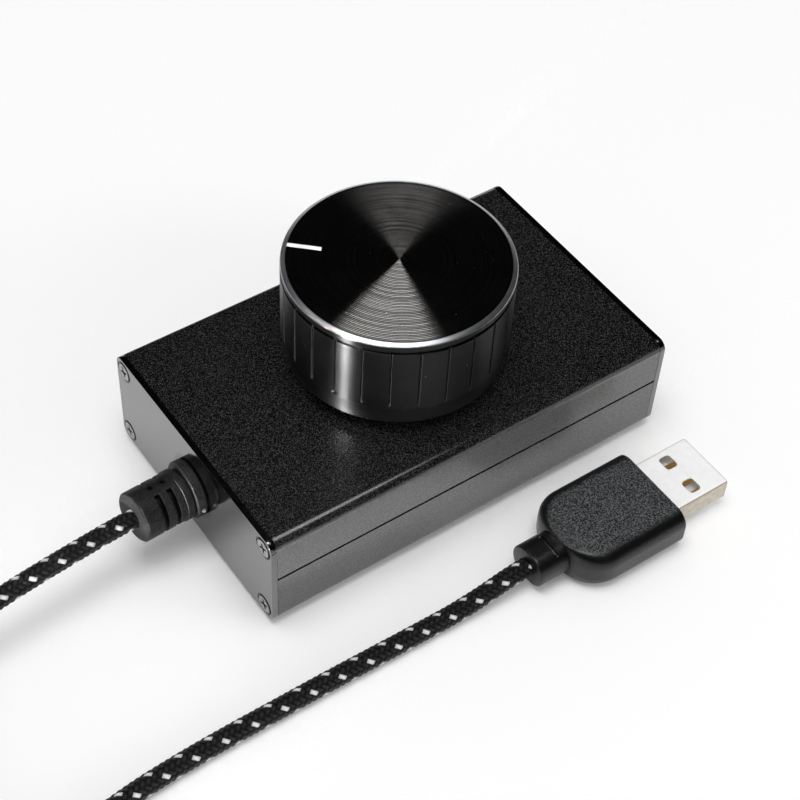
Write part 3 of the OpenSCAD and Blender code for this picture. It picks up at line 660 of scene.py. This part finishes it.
# (radius, height, rounding) down the outside of the knob, and on under it into its hollow
PROFILE = [(FACE_R, KNOB_H, 0), (19.0, 18.98, 0), (19.62, 18.64, 0), (19.72, 18.5, 0), (KNOB_R, 18.25, 0),
           (KNOB_R, 17.55, 0.1), (KNOB_R - 0.45, 17.5, 0.06), (KNOB_R - 0.45, 16.95, 0.06),
           (KNOB_R, 16.85, 0.1), (KNOB_R, 3.95, 0.05), (KNOB_R - 0.12, 3.8, 0.05), (KNOB_R - 0.5, 0.0, 0.2),
           (KNOB_R - 2.4, 0.0, 0.2), (KNOB_R - 3.0, 0.6, 0.1), (KNOB_R - 3.0, 14.5, 0.5), (7.5, 14.5, 0.5),
           (7.5, 5.2, 0.3), (3.4, 5.2, 0.1), (3.05, 5.5, 0.1), (3.05, 16.8, 0.1), (0.2, 16.8, 0)]
WALL_HEIGHTS = [16.2, 15.0, 13.5, 12.0, 10.5, 9.0, 7.5, 6.2, 5.4, 5.0, 4.7, 4.5, 4.35, 4.2, 4.1]


def knob_columns():
    """(angle in radians, groove depth) of each column of the wall."""
    pitch = 360 / GROOVES
    columns = []
    edge = math.degrees(GROOVE_SHAPE[-1][0] / KNOB_R)
    for k in range(GROOVES):
        middle = GROOVE_START + k * pitch
        columns += [(middle + math.degrees(at / KNOB_R), depth) for at, depth in GROOVE_SHAPE]
        columns += [(middle + edge + (pitch - 2 * edge) * (j + 1) / (LAND_STEPS + 1), 0.0)
                    for j in range(LAND_STEPS)]
    return [(math.radians(a), depth) for a, depth in columns]


def groove_share(r, z):
    """The share of its depth that a groove has at this radius and height of the knob."""
    if r < KNOB_R - 0.5 or z > GROOVE_TOP_Z:
        return 0.0
    return clamp((z - GROOVE_END_Z) / GROOVE_RUNOUT) ** RUNOUT_POWER


def wall_rows():
    """(radius, height, groove share) along the profile, with more rows on the grooved wall."""
    outside = round_corners(PROFILE)
    rows = []
    for a, b in zip(outside, outside[1:]):
        rows.append(tuple(a))
        # The one long way down at the outside is the grooved wall.
        if min(a.x, b.x) > KNOB_R - 0.2 and a.y - b.y > 5:
            rows += [(KNOB_R, z) for z in WALL_HEIGHTS]
    rows.append(tuple(outside[-1]))
    return [(r, z, groove_share(r, z)) for r, z in rows]


def cut_out(piece, verts, faces):
    """Cuts a closed shape of points in millimetres out of the piece."""
    cutter = add_mesh("cutter", verts, faces)
    modifier = piece.modifiers.new("cut", "BOOLEAN")
    modifier.operation = "DIFFERENCE"
    modifier.solver = "EXACT"
    modifier.object = cutter
    depsgraph = bpy.context.evaluated_depsgraph_get()
    cut = bpy.data.meshes.new_from_object(piece.evaluated_get(depsgraph))
    piece.modifiers.clear()
    piece.data = cut
    bpy.data.objects.remove(cutter)


def add_knob(materials):
    """The knob as one turned skin, from the middle of its face to its hollow. materials are in the order
    of WALL, EDGE, FACE and GROOVE."""
    columns = knob_columns()
    count = len(columns)
    face_count = count // 3
    verts, faces, kinds = [], [], []

    def join(a, b, count_a, count_b, kind):
        new = ring_faces(b, a, count_b, count_a)
        faces.extend(new)
        kinds.extend([kind] * len(new))

    face_angles = [columns[3 * k][0] for k in range(face_count)]
    last = None
    for k in range(round((FACE_R - SPIN_START_R) / SPIN_PITCH)):
        inner = SPIN_START_R + k * SPIN_PITCH
        for radius, depth in ((inner, 0.0), (inner + SPIN_STEEP * SPIN_PITCH, SPIN_DEPTH)):
            start = len(verts)
            verts.extend((*around(radius, a), KNOB_BOTTOM + (KNOB_H - depth)) for a in face_angles)
            if last is None:
                faces.append(tuple(range(start, start + face_count)))
                kinds.append(FACE)
            else:
                join(last, start, face_count, face_count, FACE)
            last = start
    last_count = face_count
    for radius, z, share in wall_rows():
        start = len(verts)
        verts.extend((*around(radius - depth * share, a), KNOB_BOTTOM + z) for a, depth in columns)
        join(last, start, last_count, count, FACE if z == KNOB_H else EDGE if z > RIM_END_Z else WALL)
        if share > MATTE_SHARE:
            first = len(kinds) - count
            for k in range(count):
                # The last face of a groove, its far lip, keeps the wall's gloss.
                if columns[(k + 1) % count][1] > 0:
                    kinds[first + k] = GROOVE
        last, last_count = start, count
    faces.append(tuple(range(last + count - 1, last - 1, -1)))
    kinds.append(WALL)
    knob = make_piece("knob_turned", verts, faces, "knob", materials, KNOB_SHARP, kinds)
    cut_pointer_slot(knob)
    cut_set_screw_hole(knob)
    knob.data.set_sharp_from_angle(angle=math.radians(KNOB_SHARP))
    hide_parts("knob_body")


def cut_pointer_slot(knob):
    slot_l, width, depth, gap, above = 5.8, 0.8, 0.4, 0.04, 1
    turn = Matrix.Rotation(math.radians(POINTER_ANGLE), 3, "Z")
    near, far = FACE_R - slot_l - gap, FACE_R + gap
    top = KNOB_BOTTOM + KNOB_H
    corners = [(near, -1), (far, -1), (far, 1), (near, 1)]
    verts = [turn @ Vector((x, s * (width / 2 + gap), z)) for z in (top - depth, top + above)
             for x, s in corners]
    cut_out(knob, verts, [(3, 2, 1, 0), (4, 5, 6, 7), (0, 1, 5, 4), (1, 2, 6, 5), (2, 3, 7, 6), (3, 0, 4, 7)])


def cut_set_screw_hole(knob):
    radius, sides, near, far = 1.6, 32, 2.0, KNOB_R + 2
    turn = Matrix.Rotation(math.radians(SET_SCREW_ANGLE), 3, "Z")
    ring = [around(radius, 2 * math.pi * k / sides) for k in range(sides)]
    verts = [turn @ Vector((x, y, SET_SCREW_Z + z)) for x in (near, far) for y, z in ring]
    cut_out(knob, verts, end_faces(sides, 2 * sides) + ring_faces(0, sides, sides, sides))


def spun_material(name, color, roughness, anisotropic, warmth=0.0):
    """Turned metal: the gloss is drawn out across the rings that run round the knob's axis."""
    ring_scale, wear_scale, ring_share, spread = 1800.0, 220.0, 0.75, 0.28
    dust_color, dust_roughness = 0.35, 0.7
    material, tree, shader = new_material(name, Metallic=1.0, Anisotropic=anisotropic,
                                          Anisotropic_Rotation=0.25)
    place = object_place(tree)
    x, y, _ = split(tree, place)
    radius = length(tree, add_node(tree, "CombineXYZ", X=x, Y=y).outputs[0])
    rings = add_node(tree, "TexNoise", {"noise_dimensions": "1D"}, W=radius, Scale=ring_scale, Detail=1.0)
    wear = noise(tree, wear_scale, place)
    level = add_products(tree, rings.outputs[0], ring_share, wear, 1 - ring_share)
    low, high = gray(color * (1 - spread), warmth), gray(min(1.0, color * (1 + spread)), warmth)
    tone = blend_colors(tree, ramp(tree, level, 0.36, 0.64), low, high)
    dust = specks(tree, *DUST, place)
    worn = vary(tree, wear, roughness - 0.02, roughness + 0.02)
    wire(tree, shader, Base_Color=blend_colors(tree, dust, tone, gray(max(color, dust_color))),
         Roughness=calc(tree, "MAXIMUM", worn, calc(tree, "MULTIPLY", dust, dust_roughness)),
         Tangent=add_node(tree, "Tangent", {"direction_type": "RADIAL", "axis": "Z"}).outputs[0])
    return material, tree, shader


def knob_materials():
    """The knob's materials: its wall is turned and then finely blasted."""
    wall, tree, shader = spun_material("knob_wall", 0.038, 0.3, 1.0)
    grit = noise(tree, 4500.0, detail=1.0, roughness=0.6)
    wire(tree, shader, Normal=bump(tree, grit, 0.004))
    edge = spun_material("cut_edge", 0.56, 0.33, 0.3, -0.04)[0]
    face = spun_material("spun_face", 0.145, 0.17, 1.0, 0.03)[0]
    groove = surface("groove_black", 0.006, 0.7, 0.0, 0.3, 0.004, 0.3, Specular_IOR_Level=0.2)
    return [wall, edge, face, groove]


# ---- switch dome ----


def add_dome(steel):
    """The switch's dome as a piece of its own, in steel, riding on the case."""
    dome = add_object("spring_dome", NODES["switch_dome"].data.copy())
    dome.data.materials.clear()
    dome.data.materials.append(steel)
    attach(dome, "case")
    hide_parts("switch_dome")
    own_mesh(dome)


# ---- finishes of the CAD parts ----

SCREW_SHADE_RADII = (1.55, 1.7, 2.05, 2.2)  # radii over which the painted shade ring round a screw rises and falls
FLANGE_SHADE_RADII = (5.2, 6.6)             # radii over which the painted shade round the strain relief's flange fades out
FLANGE_SHADE_SHARE = 0.6                      # share of that painted shade next to the flange
SCREW_FLAT = (-0.1, 0.05)        # between these places past the case's end a screw goes from painted shade, in its recesses, to bright

# (name, gray level or RGB, roughness, metallic, grain_mm, depth_mm, spread) and the nodes in that finish
PLAIN_FINISHES = [
    (("set_screw_steel", 0.2, 0.35, 1.0, 0.4, 0.003, 0.2), ["knob_set_screw"]),
    (("foot_rubber", 0.02, 0.75, 0.0, 0.25, 0.01, 0.3), ["rubber_feet"]),
    (("board_green", (0.012, 0.10, 0.045), 0.35, 0.0, 1.2, 0.01, 0.25), ["circuit_board"]),
    (("chip_black", 0.02, 0.5, 0.0, 0.15, 0.005, 0.3), ["controller_chip", "resistors"]),
    (("socket_plastic", (0.62, 0.58, 0.46), 0.45, 0.0, 0.4, 0.004, 0.1),
     ["lead_socket", "lead_socket_plug", "encoder_rotor", "switch_plunger"]),
    (("wire_rubber", (0.25, 0.03, 0.02), 0.4, 0.0, 0.5, 0.003, 0.2), ["inner_wires"]),
    (("housing_plastic", 0.04, 0.4, 0.0, 0.3, 0.004, 0.2), ["encoder_housing"]),
    (("pointer_white", 0.96, 0.4, 0.0, 0.3, 0.004, 0.03), ["knob_pointer"]),
    (("jacket", 0.02, 0.6, 0.0, 0.3, 0.01, 0.3), ["lead_inner_end"]),
    (("plug_plastic", 0.75, 0.4, 0.0, 0.3, 0.003, 0.05), ["plug_insert"]),
    (("contact_gold", (0.8, 0.5, 0.16), 0.25, 1.0, 0.3, 0.002, 0.1), ["plug_contacts"])]
STEEL_PARTS = ["crystal", "capacitors", "encoder_washer", "encoder_nut", "encoder_pins", "encoder_bushing",
               "encoder_shaft"]
# (width of the soft edges, least angle in degrees of an edge that gets one, nodes)
SOFT_EDGES = [(0.14, 40.0, ["top_shell", "bottom_shell", "cord_end_plate", "far_end_plate"]),
              (0.07, 35.0, ["cord_end_screws", "far_end_screws", "strain_relief", "plug_shell"])]


def soften(node, width_mm, angle):
    """Small round edges and smooth faces on a CAD part, by modifiers only."""
    weld = node.modifiers.new("weld", "WELD")
    weld.merge_threshold = 1e-6
    bevel = node.modifiers.new("edges", "BEVEL")
    bevel.limit_method = "ANGLE"
    bevel.angle_limit = math.radians(angle)
    bevel.width = width_mm * MM
    bevel.segments = 2
    bevel.use_clamp_overlap = True
    bevel.harden_normals = True


def paint(material, *names):
    for name in names:
        for slot in NODES[name].material_slots:
            slot.material = material


def blasted_material(name, side_color, side_spread, side_roughness, top_and_glint_colors, top_roughness,
                     metallic=0.0, end_plate=False):
    """Black anodising, bead-blasted on top, smoother on the sides. The top's light specks are painted glints,
    and the sides' lighter gray against the top's near black is painted light.
    """
    grit_scale, broad_scale, speck_scale, speck_power, side_grit = 4600.0, 300.0, 8500.0, 3.5, 0.15
    material, tree, shader = new_material(name, Metallic=metallic, IOR=1.55)
    place = object_place(tree)
    on_top = ramp(tree, surface_normal(tree)[2], 0.05, 0.4)
    grit = noise(tree, grit_scale, place, roughness=0.6)
    broad = noise(tree, broad_scale, place)
    shade = split(tree, cells(tree, speck_scale, place).outputs["Color"])[0]
    # Painted glints: the top is near black with sparse light specks.
    low, high = top_and_glint_colors
    top = blend_colors(tree, calc(tree, "POWER", shade, speck_power), gray(low), gray(high))
    side = blend_colors(tree, shade, gray(side_color * (1 - side_spread)),
                        gray(side_color * (1 + side_spread)))
    # Painted light: the sides get a lighter gray than the top by the way they face.
    finish = blend_colors(tree, on_top, side, top)
    if end_plate:
        # Painted shade round the screw heads.
        finish = blend_colors(tree, screw_ring_shade(tree, place), finish, gray(0.0))
        # Painted shade round the strain relief's flange.
        finish = blend_colors(tree, flange_painted_shade(tree, place), finish, gray(0.02))
    rough = ramp(tree, on_top, 0.0, 1.0, side_roughness, top_roughness)
    height = calc(tree, "MULTIPLY", grit, ramp(tree, on_top, 0.0, 1.0, side_grit, 1.0))
    wire(tree, shader, Base_Color=finish, Normal=bump(tree, height, 0.018),
         Roughness=calc(tree, "ADD", rough, vary(tree, broad, -0.02, 0.02)))
    return material


def screw_ring_shade(tree, place):
    """1 in the painted shade ring round each of the end plates' screw heads, on the heads' rims and on the
    plate next to them.
    """
    _, y, z = split(tree, place)
    y = calc(tree, "SUBTRACT", calc(tree, "ABSOLUTE", y), SCREW_Y * MM)
    z = calc(tree, "SUBTRACT", z, SCREW_MID_Z * MM)
    z = calc(tree, "SUBTRACT", calc(tree, "ABSOLUTE", z), SCREW_HALF_Z * MM)
    r = reach(tree, y, z)
    a, b, c, d = (size * MM for size in SCREW_SHADE_RADII)
    return calc(tree, "MULTIPLY", ramp(tree, r, a, b), ramp(tree, r, c, d, 1.0, 0.0))


def flange_painted_shade(tree, place):
    """Painted shade that rises to its full share in the corner between the cord end plate and the strain
    relief's flange.
    """
    x, y, z = split(tree, place)
    r = reach(tree, y, calc(tree, "SUBTRACT", z, EXIT_Z * MM))
    fade = ramp(tree, r, FLANGE_SHADE_RADII[0] * MM, FLANGE_SHADE_RADII[1] * MM, FLANGE_SHADE_SHARE, 0.0)
    return calc(tree, "MULTIPLY", fade, calc(tree, "LESS_THAN", x, 0.0))


def screw_material():
    """Steel, with painted shade in its cross recesses and on its rim."""
    material, tree, shader = new_material("screw_steel", Metallic=1.0)
    place = object_place(tree)
    depth = calc(tree, "ABSOLUTE", split(tree, place)[0])
    low, high = ((CASE_L / 2 + size) * MM for size in SCREW_FLAT)
    flat = ramp(tree, depth, low, high)
    shade = calc(tree, "MULTIPLY", flat, calc(tree, "SUBTRACT", 1.0, screw_ring_shade(tree, place)))
    wear = noise(tree, 2500.0, place)
    bright = blend_colors(tree, vary(tree, wear), gray(0.22), gray(0.42))
    wire(tree, shader, Base_Color=blend_colors(tree, shade, gray(0.01), bright),
         Roughness=vary(tree, wear, 0.26, 0.34), Normal=bump(tree, wear, 0.004))
    return material


def finish_cad_parts():
    shells = blasted_material("blasted_black", side_color=0.08, side_spread=0.4, side_roughness=0.2,
                              top_and_glint_colors=(0.0, 0.058), top_roughness=0.2)
    plates = blasted_material("plate_black", side_color=0.2, side_spread=0.06, side_roughness=0.1,
                              top_and_glint_colors=(0.05, 0.3), top_roughness=0.12, metallic=1.0, end_plate=True)
    paint(shells, "top_shell", "bottom_shell")
    paint(plates, "cord_end_plate", "far_end_plate")
    paint(screw_material(), "cord_end_screws", "far_end_screws")
    paint(relief_material(), "strain_relief")
    paint(shell_material(), "plug_shell")
    steel = surface("can_steel", 0.6, 0.3, 1.0, 0.3, 0.002, 0.15)
    paint(steel, *STEEL_PARTS)
    add_dome(steel)
    for finish, names in PLAIN_FINISHES:
        paint(surface(*finish), *names)
    for width, angle, names in SOFT_EDGES:
        for name in names:
            soften(NODES[name], width, angle)


# ---- studio ----

FLOOR_HALF = 1500.0
FLOOR_GLOW = 0.085               # lifts the table to the photograph's white, for what the camera sees
FLOOR_FADE = (0.35, 1.0)         # between these distances in metres it rises to the white of the background
HORIZON = 0.95                   # brightness that gloss sees near the horizon
CEILING = 0.01                   # and above it
SKY_EDGE = (-0.02, 0.05)         # between these heights of a direction the one goes over to the other
AMBIENT = 0.44                   # brightness that all other rays see, which lights what is matte


def light_path(tree):
    """1 for camera rays, and 1 for rays that come off gloss or through glass."""
    rays = tree.nodes.new("ShaderNodeLightPath").outputs
    return rays["Is Camera Ray"], calc(tree, "MAXIMUM", rays["Is Glossy Ray"], rays["Is Transmission Ray"])


def add_world():
    """White to the camera. Gloss sees white near the horizon and a dark ceiling above it."""
    world = bpy.data.worlds.new("studio")
    bpy.context.scene.world = world
    world.use_nodes = True
    tree = world.node_tree
    seen, gloss = light_path(tree)
    up = split(tree, tree.nodes.new("ShaderNodeTexCoord").outputs["Generated"])[2]
    sky = ramp(tree, up, *SKY_EDGE, HORIZON, CEILING)
    light = add_products(tree, gloss, sky, calc(tree, "SUBTRACT", 1.0, gloss), AMBIENT)
    unseen = calc(tree, "SUBTRACT", 1.0, seen)
    wire(tree, tree.nodes["Background"], Color=WHITE, Strength=add_products(tree, seen, 1.0, unseen, light))


def add_floor():
    corners = [(-FLOOR_HALF, -FLOOR_HALF, 0), (FLOOR_HALF, -FLOOR_HALF, 0), (FLOOR_HALF, FLOOR_HALF, 0),
               (-FLOOR_HALF, FLOOR_HALF, 0)]
    floor = add_mesh("floor", corners, [(0, 1, 2, 3)])
    material, tree, shader = new_material("table", Roughness=0.8, Specular_IOR_Level=0.2,
                                          Emission_Color=WHITE)
    camera, gloss = light_path(tree)
    seen = calc(tree, "MAXIMUM", camera, gloss)
    glow = ramp(tree, length(tree, object_place(tree)), *FLOOR_FADE, FLOOR_GLOW, 1.0)
    wire(tree, shader, Base_Color=blend_colors(tree, noise(tree, 8.0), gray(0.93), gray(0.95)),
         Emission_Strength=calc(tree, "MULTIPLY", seen, glow))
    floor.data.materials.append(material)


def polar(azimuth, elevation, distance):
    """The point in that direction, in degrees, and at that distance."""
    flat, z = around(distance, math.radians(elevation))
    return (*around(flat, math.radians(azimuth)), z)


def add_area(name, place, size, power, target=None):
    """A lamp, in metres and watts. It shines at the target, or else straight down."""
    light = bpy.data.lights.new(name, "AREA")
    light.shape = "RECTANGLE"
    light.size, light.size_y = size
    light.energy = power
    lamp = add_object(name, light)
    lamp.location = place
    if target is not None:
        lamp.rotation_euler = (Vector(target) - Vector(place)).to_track_quat("-Z", "Y").to_euler()
    return lamp


def add_lights():
    overhead = add_area("overhead", (-0.116, -0.036, 1.0), size=(0.71, 0.5), power=5.4)
    overhead.rotation_euler = (0.0, 0.0, math.radians(-37.8))
    add_area("back", polar(49.6, 65, 1.0), size=(0.26, 0.1), power=0.06, target=(0, 0, 0.02))
    right = add_area("right", polar(-46, 14, 1.1), size=(0.42, 0.28), power=3.0, target=(0, 0, 0.02))
    right.visible_glossy = False     # so that it leaves no white glare on the case's top in low views
    streak = add_area("streak", polar(-167, 5, 0.9), size=(0.02, 0.12), power=0.08, target=(0, 0, 0.036))
    streak.data.spread = math.radians(5)


# ---- scene ----

bpy.context.scene.view_settings.view_transform = "Standard"
add_camera()
add_lead(braid_material(), surface("jacket_cut", 0.03, 0.6))
add_knob(knob_materials())
add_bead(surface("bead_gray", 0.3, 0.4, 0.0, 0.3, 0.004, 0.1))
finish_cad_parts()
add_floor()
add_lights()
add_world()
